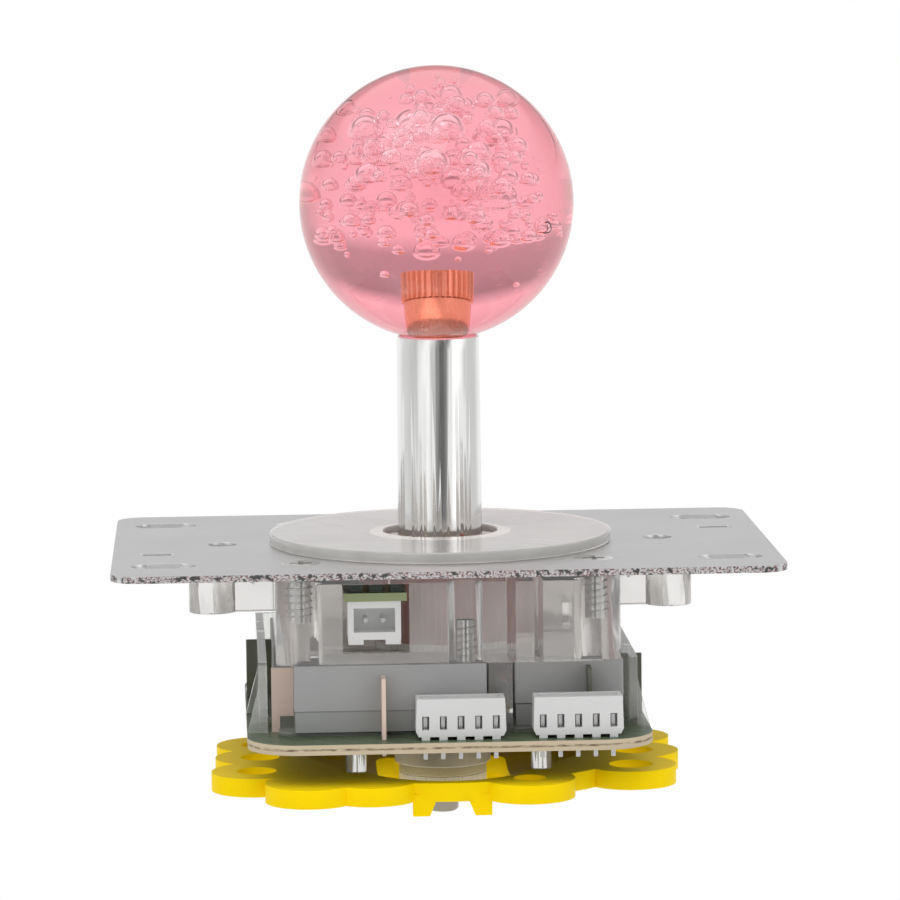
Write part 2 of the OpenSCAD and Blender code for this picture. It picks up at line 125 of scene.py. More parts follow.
class BoardSettings(bpy.types.PropertyGroup):
    mask: colour("Mask", "Colour of the board's coating", (0.070, 0.095, 0.055))
    core: colour("Core", "Colour of the board's cut edge", (0.56, 0.47, 0.33))
    housing: colour("Header", "Colour of the header bodies", (0.69, 0.69, 0.685))
    # Painted light: the lamp header is the same white plastic as the other headers, painted lighter
    # for the light it lacks in its recess behind the clear housing
    lamp_header: colour("Lamp header", "Colour of the lamp header", (0.88, 0.88, 0.87))
    lamp_card: colour("Lamp board", "Colour of the lamp board", (0.36, 0.42, 0.22))
    lamp_parts: colour("Lamp board parts", "Colour of the parts on the lamp board",
                       (0.02, 0.035, 0.025))
    tin: colour("Tin", "Colour of pins and solder", (0.72, 0.72, 0.71))
    solder_radius: length("Solder radius", "Radius of a solder joint", 0.0009)


class GateSettings(bpy.types.PropertyGroup):
    yellow: colour("Yellow", "Colour of the gate", (1.0, 0.70, 0.0))
    edge_round: length("Edge radius", "Radius on the gate's edges", 0.00045)


class StageSettings(bpy.types.PropertyGroup):
    distance: length("Distance", "Distance of the camera from the object", 0.7147)
    azimuth: FloatProperty(name="Azimuth", default=math.radians(-2.684), subtype="ANGLE",
                           description="Turn of the camera round the object")
    elevation: FloatProperty(name="Elevation", default=math.radians(7.818), subtype="ANGLE",
                             description="Height angle of the camera")
    roll: FloatProperty(name="Roll", default=math.radians(0.65), subtype="ANGLE",
                        description="Turn of the picture")
    lens: FloatProperty(name="Lens", default=191.81, min=10.0, max=400.0,
                        description="Focal length in millimetres")
    floor: length("Floor", "Depth of the pale floor below the plate", 0.5)
    key: FloatProperty(name="Key lamp", default=2.9, min=0.0, max=100.0, unit="POWER",
                       description="Power of the soft lamp above the object")


class JoystickSettings(bpy.types.PropertyGroup):
    ball: PointerProperty(type=BallSettings, name="Ball", description="The ball top")
    lever: PointerProperty(type=LeverSettings, name="Lever", description="The lever")
    plate: PointerProperty(type=PlateSettings, name="Plate", description="The plate")
    housing: PointerProperty(type=HousingSettings, name="Housing", description="The housing")
    switches: PointerProperty(type=SwitchSettings, name="Switches", description="The switches")
    board: PointerProperty(type=BoardSettings, name="Board", description="The board")
    gate: PointerProperty(type=GateSettings, name="Gate", description="The gate")
    stage: PointerProperty(type=StageSettings, name="Stage", description="The stage")


def settings():
    return bpy.context.scene.joystick


# Shading

class Nodes:
    """A node tree with a plain way to add, link and combine its nodes."""

    def __init__(self, tree):
        self.tree = tree
        tree.nodes.clear()

    def node(self, kind, inputs=None, **attrs):
        node = self.tree.nodes.new(kind)
        for key, value in attrs.items():
            setattr(node, key, value)
        for key, value in (inputs or {}).items():
            self.put(node.inputs[key], value)
        return node

    def put(self, socket, value):
        if isinstance(value, bpy.types.NodeSocket):
            self.tree.links.new(value, socket)
        elif socket.type == "RGBA" and len(value) == 3:
            socket.default_value = (*value, 1.0)
        else:
            socket.default_value = value

    def maths(self, operation, a, b=0.0):
        node = self.node("ShaderNodeMath", operation=operation)
        self.put(node.inputs[0], a)
        self.put(node.inputs[1], b)
        return node.outputs[0]

    def axis(self, vector, index):
        return self.node("ShaderNodeSeparateXYZ", {0: vector}).outputs[index]

    def span(self, value, low, high, start=0.0, end=1.0):
        """Maps low to high onto start to end, and holds the ends."""
        node = self.node("ShaderNodeMapRange", {
            "Value": value, "From Min": low, "From Max": high, "To Min": start, "To Max": end})
        return node.outputs["Result"]

    def mix(self, factor, a, b):
        node = self.node("ShaderNodeMix", data_type="RGBA")
        for index, value in ((0, factor), (6, a), (7, b)):
            self.put(node.inputs[index], value)
        return node.outputs[2]

    def blend(self, factor, first, second):
        """Mix of two shaders."""
        return self.node("ShaderNodeMixShader", {0: factor, 1: first, 2: second}).outputs[0]


class Shade(Nodes):
    """A material; its coordinates are in millimetres."""

    def __init__(self, name):
        self.mat = bpy.data.materials.new(name)
        self.mat.use_nodes = True
        super().__init__(self.mat.node_tree)
        coords = self.node("ShaderNodeTexCoord")
        scaled = self.node("ShaderNodeVectorMath", {"Scale": 1 / MM}, operation="SCALE")
        self.tree.links.new(coords.outputs["Object"], scaled.inputs[0])
        self.place = scaled.outputs[0]
        self.normal = coords.outputs["Normal"]

    def stretch(self, x, y, z):
        node = self.node("ShaderNodeVectorMath", {1: (x, y, z)}, operation="MULTIPLY")
        self.tree.links.new(self.place, node.inputs[0])
        return node.outputs[0]

    def noise(self, scale, detail=3.0, vector=None, rough=0.5):
        node = self.node("ShaderNodeTexNoise", {
            "Vector": vector or self.place, "Scale": scale, "Detail": detail,
            "Roughness": rough})
        return node.outputs["Fac"]

    def bump(self, height, strength, distance):
        return self.node("ShaderNodeBump", {
            "Height": height, "Strength": strength, "Distance": distance * MM}).outputs["Normal"]

    def surface(self, **inputs):
        """Principled shader; a socket's name is written in small letters with underscores."""
        names = {key.replace("_", " ").title(): value for key, value in inputs.items()}
        names = {key.replace("Ior", "IOR"): value for key, value in names.items()}
        return self.node("ShaderNodeBsdfPrincipled", names).outputs[0]

    def finish(self, shader, volume=None):
        out = self.node("ShaderNodeOutputMaterial", {"Surface": shader})
        if volume is not None:
            self.put(out.inputs["Volume"], volume)
        return self.mat


MATERIALS = {}


def material(name, build):
    if name not in MATERIALS:
        MATERIALS[name] = build(name)
    return MATERIALS[name]


def metal(base, rough, grain=(1.0, 1.0, 1.0), scratch=0.08, depth=0.01, polish=1.0):
    def build(name):
        s = Shade(name)
        broad = s.noise(0.12, 4.0)
        fine = s.noise(3.0, 4.0, s.stretch(*grain))
        tone = s.mix(s.span(broad, 0.3, 0.7, 0.0, 0.5), base, [c * 0.86 for c in base])
        gloss = s.maths("ADD", s.span(fine, 0.3, 0.7, rough - scratch, rough + scratch),
                        s.span(broad, 0.3, 0.7, -0.03, 0.03))
        return s.finish(s.surface(base_color=tone, metallic=polish, roughness=gloss,
                                  normal=s.bump(fine, 0.35, depth)))
    return build


def plastic(base, rough=0.42, depth=0.02, shift=0.06, glow=0.0, shine=0.5):
    def build(name):
        s = Shade(name)
        broad = s.noise(0.08, 3.0)
        fine = s.noise(2.6, 3.0)
        tone = s.mix(s.span(broad, 0.3, 0.7), base, [c * (1.0 - shift) for c in base])
        gloss = s.span(fine, 0.3, 0.7, rough - 0.05, rough + 0.06)
        inputs = dict(base_color=tone, roughness=gloss, normal=s.bump(fine, 0.25, depth),
                      specular_ior_level=shine)
        if glow:
            inputs.update(subsurface_weight=glow, subsurface_scale=0.0015,
                          subsurface_radius=(1.0, 0.7, 0.3))
        return s.finish(s.surface(**inputs))
    return build


def glass(tint, rough=0.03, ior=1.53, ripple=0.02, haze=0.0, volume=None, rim=None,
          cloud=0.2, milk_rough=0.3):
    """Clear plastic that lets the lamps' light through to what lies behind it.

    Haze mixes in a milky shader, and cloud is how far the haze varies. The slant shade is
    painted shade, mixed in where the surface is seen at a slant. The volume is a colour and a
    density.
    """
    def build(name):
        s = Shade(name)
        broad = s.noise(0.16, 2.0)
        fine = s.noise(1.4, 2.0)
        gloss = s.span(fine, 0.3, 0.7, rough * 0.5, rough * 1.5)
        skin = tint
        # Painted shade: a darker, deeper colour mixed in where the surface is seen at a slant
        if rim:
            slant = s.node("ShaderNodeLayerWeight", {"Blend": 0.5}).outputs["Facing"]
            skin = s.mix(s.span(slant, 0.25, 0.85), tint, rim)
        body = s.surface(base_color=skin, roughness=gloss, ior=ior, transmission_weight=1.0,
                         normal=s.bump(broad, 0.5, ripple))
        if haze:
            milk = s.surface(base_color=[c * 0.95 for c in tint], roughness=milk_rough)
            body = s.blend(s.span(broad, 0.3, 0.7, haze * (1 - cloud), haze * (1 + cloud)),
                           body, milk)
        path = s.node("ShaderNodeLightPath")
        through = s.maths("MAXIMUM", path.outputs["Is Shadow Ray"],
                          path.outputs["Is Diffuse Ray"])
        air = s.node("ShaderNodeBsdfTransparent", {0: [c * 0.99 for c in tint]}).outputs[0]
        inside = None
        if volume:
            inside = s.node("ShaderNodeVolumeAbsorption", {
                "Color": volume[0], "Density": volume[1]}).outputs[0]
        return s.finish(s.blend(through, body, air), inside)
    return build


def zinc_plate(name):
    """Zinc faces, and a torn, flecked cut round the plate's outer edge only."""
    p = settings().plate
    base, dark = tuple(p.zinc), tuple(p.edge)
    s = Shade(name)
    broad = s.noise(0.06, 5.0)
    fine = s.noise(2.2, 5.0)
    scuffs = s.span(s.noise(0.5, 6.0, s.stretch(0.35, 1.0, 1.0)), 0.62, 0.72)
    face = s.mix(s.span(broad, 0.35, 0.65, 0.0, 0.4), base, [c * 0.88 for c in base])
    face = s.mix(s.maths("MULTIPLY", scuffs, 0.25), face, [c * 0.7 for c in base])
    up = s.maths("ABSOLUTE", s.axis(s.normal, 2))
    edge_x, edge_y, soft = 47.4, 31.6, 0.2
    outer = s.maths(
        "MAXIMUM",
        s.span(s.maths("ABSOLUTE", s.axis(s.place, 0)), edge_x, edge_x + soft),
        s.span(s.maths("ABSOLUTE", s.axis(s.place, 1)), edge_y, edge_y + soft))
    side = s.maths("MULTIPLY", s.span(up, 0.75, 0.5), outer)
    fleck = s.noise(2.8, 4.0, s.stretch(1.0, 1.0, 1.4), 0.7)
    cut = s.mix(s.span(fleck, 0.44, 0.52), dark, [c * 0.9 for c in base])
    cut = s.mix(s.span(s.noise(1.3, 3.0), 0.55, 0.62), cut, (0.08, 0.08, 0.08))
    tone = s.mix(side, face, cut)
    gloss = s.maths("ADD", s.span(fine, 0.3, 0.7, 0.30, 0.40),
                    s.maths("MULTIPLY", side, 0.2))
    height = s.maths("ADD", s.maths("MULTIPLY", fine, 0.15),
                     s.maths("MULTIPLY", s.maths("MULTIPLY", fleck, side), 4.0))
    return s.finish(s.surface(base_color=tone, metallic=s.span(side, 0.0, 1.0, 1.0, 0.55),
                              roughness=gloss, normal=s.bump(height, 0.6, 0.05)))


def green_board(name):
    """Coated faces with faint tracks, and a cut edge with a dark line along its middle."""
    b = settings().board
    mask, core = tuple(b.mask), tuple(b.core)
    s = Shade(name)
    broad = s.noise(0.15, 3.0)
    fine = s.noise(3.0, 3.0)
    face = s.mix(s.span(broad, 0.35, 0.65), mask, [c * 1.5 for c in mask])
    lanes = s.node("ShaderNodeTexWave", {"Vector": s.place, "Scale": 0.16, "Distortion": 1.5},
                   wave_type="BANDS", bands_direction="DIAGONAL")
    face = s.mix(s.span(lanes.outputs["Fac"], 0.72, 0.80, 0.0, 0.35), face,
                 [c * 2.0 for c in mask])
    up = s.maths("ABSOLUTE", s.axis(s.normal, 2))
    side = s.span(up, 0.75, 0.5)
    middle = -25.55
    from_mid = s.maths("ABSOLUTE", s.maths("SUBTRACT", s.axis(s.place, 2), middle))
    weave = s.noise(1.2, 3.0, s.stretch(0.6, 0.6, 3.0))
    line = s.maths("MULTIPLY", s.span(from_mid, 0.22, 0.10), s.span(weave, 0.35, 0.6))
    cut = s.mix(line, core, (0.17, 0.12, 0.075))
    tone = s.mix(side, face, cut)
    gloss = s.maths("ADD", s.span(fine, 0.3, 0.7, 0.26, 0.36), s.maths("MULTIPLY", side, 0.35))
    return s.finish(s.surface(base_color=tone, roughness=gloss, specular_ior_level=0.22,
                              normal=s.bump(fine, 0.3, 0.02)))


# Meshes, in millimetres

def lathe(profile, segments=64, centre=(0.0, 0.0)):
    """Turned shape; the profile runs from the lower axis point to the upper one."""
    verts, faces, rows = [], [], []
    for r, z in profile:
        if r < 1e-6:
            rows.append([len(verts)])
            verts.append((centre[0], centre[1], z))
        else:
            rows.append(list(range(len(verts), len(verts) + segments)))
            for k in range(segments):
                a = 2 * math.pi * k / segments
                verts.append((centre[0] + r * math.cos(a), centre[1] + r * math.sin(a), z))
    for low, high in zip(rows, rows[1:]):
        for k in range(segments):
            n = (k + 1) % segments
            if len(low) == 1 and len(high) > 1:
                faces.append((low[0], high[n], high[k]))
            elif len(high) == 1 and len(low) > 1:
                faces.append((low[k], low[n], high[0]))
            elif len(low) > 1:
                faces.append((low[k], low[n], high[n], high[k]))
    return verts, faces


def globe(centre, radius, rings, segments, inward=False, below=1.0):
    profile = []
    for i in range(rings + 1):
        a = -math.pi / 2 + math.pi * i / rings
        r = 0.0 if i in (0, rings) else radius * math.cos(a)
        profile.append((r, centre[2] + radius * math.sin(a) * (below if a < 0 else 1.0)))
    verts, faces = lathe(profile, segments, centre)
    if inward:
        faces = [tuple(reversed(f)) for f in faces]
    return verts, faces


def upright(outline, low, high):
    """Straight bar of an outline given as places seen from above, in a left turn."""
    n = len(outline)
    verts = [(x, y, z) for z in (low, high) for x, y in outline]
    faces = [(k, (k + 1) % n, (k + 1) % n + n, k + n) for k in range(n)]
    faces += [tuple(reversed(range(n))), tuple(range(n, 2 * n))]
    return verts, faces


def joined(parts):
    verts, faces = [], []
    for v, f in parts:
        start = len(verts)
        verts.extend(v)
        faces.extend(tuple(i + start for i in face) for face in f)
    return verts, faces


def turned(shape, quarter):
    verts, faces = shape
    c, s = ((1, 0), (0, 1), (-1, 0), (0, -1))[quarter % 4]
    return [(x * c - y * s, x * s + y * c, z) for x, y, z in verts], faces


def piece(name, shape, look, body="housing", angle=35.0, rounding=0.0):
    verts, faces = shape
    mesh = bpy.data.meshes.new(name)
    mesh.from_pydata([(x * MM, y * MM, z * MM) for x, y, z in verts], [], faces)
    mesh.update()
    mesh.materials.append(look)
    mesh.shade_smooth()
    mesh.set_sharp_from_angle(angle=math.radians(angle))
    obj = bpy.data.objects.new(name, mesh)
    bpy.context.scene.collection.objects.link(obj)
    if rounding:
        bevel = obj.modifiers.new("Rounding", "BEVEL")
        bevel.width, bevel.segments = rounding, 2
        bevel.limit_method, bevel.angle_limit = "ANGLE", CORNER
        bevel.harden_normals = True
    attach(obj, body)
    return obj


def dress(names, look, rounding=0.0, segments=2):
    """Gives CAD nodes a material and, where asked, rounded edges."""
    for name in names:
        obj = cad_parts[name]
        for slot in obj.material_slots:
            slot.material = look
        if not obj.material_slots:
            obj.data.materials.append(look)
        if rounding:
            weld = obj.modifiers.new("Weld", "WELD")
            weld.merge_threshold = 0.000002
            flat = obj.modifiers.new("Flat faces", "DECIMATE")
            flat.decimate_type, flat.angle_limit = "DISSOLVE", math.radians(0.5)
            bevel = obj.modifiers.new("Rounding", "BEVEL")
            bevel.width, bevel.segments = rounding, segments
            bevel.limit_method, bevel.angle_limit = "ANGLE", CORNER
            bevel.use_clamp_overlap = True
            bevel.harden_normals = True


def each_side(pattern):
    return [pattern.format(side) for side in ("front", "right", "back", "left")]


# Ball

# Across and up in the view from the front, radius, and how far through the ball it lies
BIG_BUBBLES = [
    (-10.3, 10.2, 2.1, 0.40), (-16.6, 6.4, 1.3, 0.45), (-14.1, 6.6, 0.9, 0.45),
    (-11.2, 8.0, 0.9, 0.45), (-4.8, 8.6, 1.3, 0.42),
    (-3.2, 10.4, 2.5, 0.50), (1.6, 10.0, 2.2, 0.42),
    (-2.0, 13.2, 0.9, 0.42), (0.4, 12.8, 0.8, 0.45), (2.2, 15.4, 1.4, 0.5),
    (7.2, 14.6, 1.2, 0.45), (11.0, 12.8, 0.9, 0.45), (12.0, 7.8, 1.2, 0.42),
    (-0.6, 4.6, 2.2, 0.36), (6.1, 6.6, 1.6, 0.42), (6.1, 3.6, 1.7, 0.35),
    (10.6, 3.0, 1.3, 0.42), (14.0, 2.8, 1.0, 0.42), (-10.0, 3.4, 1.7, 0.38),
    (-15.6, 2.6, 1.0, 0.45), (-5.2, 2.2, 1.3, 0.45), (-12.6, -3.2, 1.2, 0.38),
    (-7.4, -5.2, 1.2, 0.35), (-2.0, -4.8, 1.1, 0.38), (-1.0, -0.9, 0.9, 0.42),
    (2.3, -2.5, 1.2, 0.38), (11.5, -2.3, 0.8, 0.42), (14.8, -5.0, 0.9, 0.5),
    (17.2, -2.6, 0.7, 0.62), (-17.0, -5.0, 1.1, 0.48), (-15.4, -4.0, 0.7, 0.45),
    (-17.2, -1.2, 0.5, 0.45), (-7.8, -11.0, 0.6, 0.35), (11.8, -12.4, 0.4, 0.4),
    (3.1, -8.8, 0.4, 0.4), (4.0, 8.8, 0.8, 0.6), (-7.4, 0.6, 1.0, 0.6),
    (8.6, 0.0, 2.4, 0.55), (3.6, 1.8, 1.0, 0.6), (0.6, -5.8, 0.8, 0.6),
    (-8.0, 6.4, 1.1, 0.55), (2.6, 6.4, 1.1, 0.55), (9.4, 6.0, 1.0, 0.5),
    (-13.0, 0.2, 1.0, 0.5), (13.2, -0.2, 0.9, 0.5), (4.6, -5.6, 0.9, 0.5),
    (8.2, -5.6, 0.9, 0.5), (12.0, -5.8, 0.8, 0.45), (-9.8, -1.0, 1.0, 0.5),
    (-4.0, -1.8, 0.9, 0.5), (5.6, -1.0, 0.9, 0.45), (-3.4, 6.0, 0.9, 0.5),
    (-6.4, 11.4, 0.7, 0.45), (4.6, 11.8, 0.7, 0.45), (-14.4, -6.2, 0.7, 0.5),
]


# Direction from the ball to the eye that the large bubbles are laid out for
TOWARD = (-0.046, -0.99, 0.136)
RESIN_IOR = 1.49


def inside_ball(across, up, part, radius, centre):
    """Point inside the ball that a far eye sees at an offset across and up, part way through."""
    view = Vector(TOWARD).normalized()
    right = Vector((0.0, 0.0, 1.0)).cross(view).normalized()
    top = view.cross(right)
    reach = math.hypot(across, up)
    offset = (right * across + top * up)
    enter = offset + view * math.sqrt(max(radius ** 2 - reach ** 2, 0.0))
    normal = enter.normalized()
    cosine, k = view.dot(normal), 1 / RESIN_IOR
    ahead = -view * k + normal * (k * cosine - math.sqrt(1 - k * k * (1 - cosine ** 2)))
    chord = -2 * enter.dot(ahead)
    return Vector(centre) + enter + ahead * chord * part


def ball_skin(radius, height, foot):
    """Outer surface of the ball, with a flat foot and a faint moulding line at mid height."""
    flat_r = math.sqrt(radius ** 2 - (height - foot) ** 2)
    start = math.asin((foot - height) / radius)
    line = (-0.010, -0.004, 0.0, 0.004, 0.010)
    angles = [start + (math.pi / 2 - start) * i / 90 for i in range(1, 90)]
    angles = sorted([a for a in angles if abs(a) > 0.012] + list(line))
    profile = [(0.0, foot), (flat_r, foot)]
    for a in angles:
        r = radius - (0.012 if a == 0.0 else 0.0)
        profile.append((r * math.cos(a), height + r * math.sin(a)))
    profile.append((0.0, height + radius))
    return lathe(profile, 128)


def small_bubbles(count, spots, centre):
    """Bubbles scattered round the large ones and, one in three, round the ball's middle."""
    reach, floor, insert_r, insert_top = 13.6, -5.5, 5.0, -5.0
    sizes = (0.18, 0.25, 0.35, 0.45, 0.6, 0.8, 1.0, 1.25)
    dice = random.Random(11)
    bubbles = []
    while len(bubbles) < count:
        beside = len(bubbles) % 3
        near = dice.choice(spots) if beside else Vector((0.0, 0.0, 3.0))
        spread = 2.6 if beside else 6.5
        at = near + Vector([dice.gauss(0.0, spread) for _ in range(3)])
        over_insert = math.hypot(at.x, at.y) < insert_r and at.z < insert_top
        if at.length > reach or at.z < floor or over_insert:
            continue
        size = dice.choice(sizes)
        bubbles.append(globe(at + Vector(centre), size, 10, 16, inward=True,
                             below=0.5 if size > 0.7 else 1.0))
    return bubbles


def build_ball():
    b = settings().ball
    radius, centre, foot = b.radius / MM, (0.0, 0.0, b.centre / MM), b.foot / MM
    skin = ball_skin(radius, centre[2], foot)
    spots, domes = [], []
    for across, up, size, part in BIG_BUBBLES:
        at = inside_ball(across, up, part, radius, centre)
        spots.append(at - Vector(centre))
        domes.append(globe(at, size, 16, 28, inward=True, below=0.4))
    bubbles = small_bubbles(b.small_count, spots, centre)
    resin = material("resin", glass(tuple(b.skin), 0.01, RESIN_IOR, 0.0008,
                                    volume=(tuple(b.tint), b.depth), rim=tuple(b.rim)))
    air = material("bubble_wall", glass((1.0, 1.0, 1.0), 0.01, RESIN_IOR, 0.004))
    ball = piece("ball", joined([skin, *domes, *bubbles]), resin, "stick")
    ball.data.materials.append(air)
    for face in ball.data.polygons[len(skin[1]):]:
        face.material_index = 1
    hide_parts("ball_top")
    dress(["lamp"], material("lamp_glass", glass(tuple(b.lamp), 0.02, 1.5, 0.01, haze=0.2)))


def splined(root, tip, teeth, rows):
    """Upright ring of fine teeth; rows are (height, depth of the teeth from 0 to 1)."""
    verts, faces = [], []
    count = teeth * 4
    for z, depth in rows:
        for k in range(count):
            r = tip if k % 4 in (0, 1) else tip - (tip - root) * depth
            a = 2 * math.pi * (k + 0.2 * (k % 2)) / count
            verts.append((r * math.cos(a), r * math.sin(a), z))
    for i in range(len(rows) - 1):
        for k in range(count):
            n = (k + 1) % count
            faces.append((i * count + k, i * count + n, (i + 1) * count + n, (i + 1) * count + k))
    faces.append(tuple(reversed(range(count))))
    faces.append(tuple((len(rows) - 1) * count + k for k in range(count)))
    return verts, faces


def build_insert():
    v = settings().lever
    brass = material("brass", metal(tuple(v.brass), 0.24, (1.0, 1.0, 0.12), 0.06, 0.02, 0.55))
    low, high = (corner.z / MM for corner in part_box("ball_insert"))
    radius = (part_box("ball_insert")[1].x) / MM
    knurl = splined(radius - 0.42, radius, 30, [
        (high - 3.1, 1.0), (high - 0.25, 1.0), (high - 0.02, 0.6)])
    body = lathe([(0.0, low + 0.02), (radius - 0.3, low + 0.02), (radius - 0.2, low + 0.12),
                  (radius - 0.2, high - 3.3), (radius - 0.5, high - 3.1), (0.0, high - 3.05)], 96)
    insert = piece("insert", joined([knurl, body]), brass, "stick", angle=20.0)
    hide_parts("ball_insert")


# Lever

def build_lever():
    v = settings().lever
    plated = material("plated_steel", metal(tuple(v.plated), 0.13, (1.0, 1.0, 0.06), 0.04, 0.003))
    steel = material("steel", metal(tuple(v.steel), 0.17, (1.0, 1.0, 0.3), 0.05))
    dress(["shaft_cover"], plated, 0.0003)
    dress(["shaft", "e_clip"], steel, 0.0001)
    # Painted light: the cup washer's near-white, mostly diffuse colour stands in for its bright
    # sheen in the board's shade
    cup = material("cup_painted_sheen", metal(tuple(v.cup), 0.28, (1.0, 1.0, 0.1), polish=0.12))
    build_cup_washer(cup, material("seat_plastic", plastic(tuple(v.seat), 0.25, glow=0.1)))


def build_cup_washer(steel, seat):
    """Steel cup washer that hides the clip, under a thin plastic seat."""
    low, high = (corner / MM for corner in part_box("retaining_washer"))
    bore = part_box("shaft")[1].x / MM
    outer, split, skirt = high.x - 0.03, low.z + 0.55, low.z - 1.35
    cup = lathe([(bore + 0.02, low.z + 0.1), (5.0, low.z + 0.1), (5.1, skirt + 0.1),
                 (5.2, skirt), (outer - 0.2, skirt), (outer, skirt + 0.2),
                 (outer, split - 0.1), (outer - 0.1, split), (bore + 0.02, split),
                 (bore + 0.02, low.z + 0.1)], 96)
    pad = lathe([(bore + 0.02, split + 0.02), (outer - 0.05, split + 0.02),
                 (outer + 0.02, split + 0.12), (outer + 0.02, high.z - 0.1),
                 (outer - 0.1, high.z - 0.02), (bore + 0.02, high.z - 0.02),
                 (bore + 0.02, split + 0.02)], 96)
    washer = piece("cup_washer", joined([cup, pad]), steel, "stick", angle=30.0)
    washer.data.materials.append(seat)
    for face in washer.data.polygons[len(cup[1]):]:
        face.material_index = 1
    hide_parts("retaining_washer")


def build_joint():
    v = settings().lever
    white = material("white_plastic", plastic(tuple(v.white), 0.38, glow=0.1))
    red = material("clear_red", glass(tuple(v.red), 0.08, 1.5, 0.02, haze=0.5))
    milky = material("milky_clear", glass(tuple(v.milky), 0.05, 1.5, 0.03, haze=0.75))
    steel = MATERIALS["steel"]
    dress(["pivot", "pivot_liner", "spring_seat"], white)
    dress(["pivot_socket", "socket_cap"], red)
    dress(["actuator"], milky, 0.0002)
    dress(["spring"], steel)


# Plate and washer

def build_plate():
    p = settings().plate
    dress(["mounting_plate"], material("zinc_plate", zinc_plate), 0.00008)
    sheet = material("clear_sheet", glass(tuple(p.sheet), 0.025, 1.49, 0.006, haze=0.42, cloud=0.08,
                                          milk_rough=0.12))
    dress(["dust_washer"], sheet, 0.00025)
    dress(["plate_screws", "frame_screws"], MATERIALS["plated_steel"])


def thread(x, y, low, high, core, crest, pitch):
    """Helical ridge round a screw's core."""
    turns = (high - low) / pitch
    steps = int(turns * 28)
    verts, faces = [], []
    for i in range(steps + 1):
        t = i / steps
        a = 2 * math.pi * turns * t
        z = low + (high - low) * t
        fade = min(1.0, 8 * t, 8 * (1 - t) + 0.02)
        top = core + (crest - core) * fade
        for r, dz in ((core - 0.15, -pitch * 0.26), (top, -0.03), (top, 0.03),
                      (core - 0.15, pitch * 0.26)):
            verts.append((x + r * math.cos(a), y + r * math.sin(a), z + dz))
    for i in range(steps):
        for k in range(4):
            n = (k + 1) % 4
            faces.append((4 * i + k, 4 * i + n, 4 * i + 4 + n, 4 * i + 4 + k))
    faces.append((3, 2, 1, 0))
    faces.append(tuple(4 * steps + k for k in range(4)))
    return verts, faces


def build_threads():
    p = settings().plate
    pitch, crest = p.thread_pitch / MM, p.thread_radius / MM
    core, plate_screw, frame_screw = 1.35, 21.2, (2.4, -22.4)
    plate_heights, frame_heights = (-8.3, -1.2), (-14.3, -8.6)
    parts = [thread(plate_screw * x, plate_screw * y, *plate_heights, core, crest, pitch)
             for x in (-1, 1) for y in (-1, 1)]
    front = thread(*frame_screw, *frame_heights, core, crest, pitch)
    parts += [turned(front, quarter) for quarter in range(4)]
    piece("screw_threads", joined(parts), MATERIALS["plated_steel"], angle=25.0)


# Housing and frame

def build_housing():
    h = settings().housing
    clear = material("clear_plastic", glass(tuple(h.clear), 0.05, 1.5, 0.05, haze=0.17))
    smoky = material("smoky_plastic", glass(tuple(h.smoky), 0.06, 1.5, 0.05, haze=0.14))
    dress(["upper_housing"], clear, h.edge_round)
    dress(["lower_frame"], smoky, h.edge_round)


# Switches

def build_switches():
    w = settings().switches
    case = material("switch_grey", plastic(tuple(w.case), 0.45, 0.02, 0.08))
    cover = material("switch_grey_dark", plastic(tuple(w.cover), 0.48, 0.02, 0.08))
    blade = material("copper", plastic(tuple(w.blade), 0.33, 0.01, 0.1))
    red = material("plunger_red", plastic(tuple(w.plunger), 0.35))
    dress(each_side("switch_{}_case"), case, 0.0003)
    dress(each_side("switch_{}_cover"), cover, 0.0003)
    # Painted shade and painted reflection: the side blades are painted dark green for their shade
    # and the green board they reflect
    dull = material("shaded_blade_tin", metal(tuple(w.dull), 0.4, polish=0.5))
    dress(["switch_front_terminals", "switch_back_terminals"], blade, 0.00006)
    dress(["switch_left_terminals", "switch_right_terminals"], dull, 0.00006)
    dress(each_side("plunger_{}"), red)


# Board, headers, pins

def pin_places():
    """Places of the header pins seen from above."""
    row_y, pitch = -28.4, 2.54
    for centre in (1.3, 18.2):
        for i in range(-2, 3):
            yield centre + pitch * i, row_y


def solder(x, y, z, radius, tall=0.75):
    """Cone of solder that hangs below a height."""
    steps, lap = 8, 0.02
    profile = [(radius * (1 - i / steps) ** 0.6 + lap, z + tall * i / steps)
               for i in range(steps + 1)]
    profile = [(0.0, z - lap), *profile, (0.0, z + tall + lap)]
    verts, faces = lathe(profile, 16, (x, y))
    return [(a, b, 2 * z - c) for a, b, c in verts], [tuple(reversed(f)) for f in faces]


def build_board():
    b = settings().board
    dress(["circuit_board"], material("green_board", green_board), 0.00006)
    white = material("header_white", plastic(tuple(b.housing), 0.40, 0.015, 0.03, glow=0.05))
    tin = material("tin", metal(tuple(b.tin), 0.30, (1.0, 1.0, 0.3)))
    dress(["header_left", "header_right"], white, 0.00012)
    dress(["header_left_pins", "header_right_pins"], tin, 0.00006)
    radius, underside = b.solder_radius / MM, -26.3
    parts = [solder(x, y, underside, radius) for x, y in pin_places()]
    blades, blade_radius = ((-9.7, -27.85), (-25.1, -20.2)), 1.2
    for quarter in range(4):
        for x, y in blades:
            parts.append(turned(solder(x, y, underside, blade_radius, 0.8), quarter))
    piece("solder_joints", joined(parts), tin)


def build_lamp_board():
    b = settings().board
    # Painted light: a lighter copy of the header white, for the lamp header's shaded recess
    white = material("lit_lamp_header_white", plastic(tuple(b.lamp_header), 0.36, 0.015, 0.03))
    card = material("lamp_card", plastic(tuple(b.lamp_card), 0.35, 0.02, 0.2))
    black = material("black_plastic", plastic(tuple(b.lamp_parts), 0.3))
    dress(["lamp_board"], card)
    dress(["lamp_board_parts"], black, 0.0001)
    dress(["lamp_header"], white, 0.0001)
    dress(["lamp_header_pins"], MATERIALS["tin"])


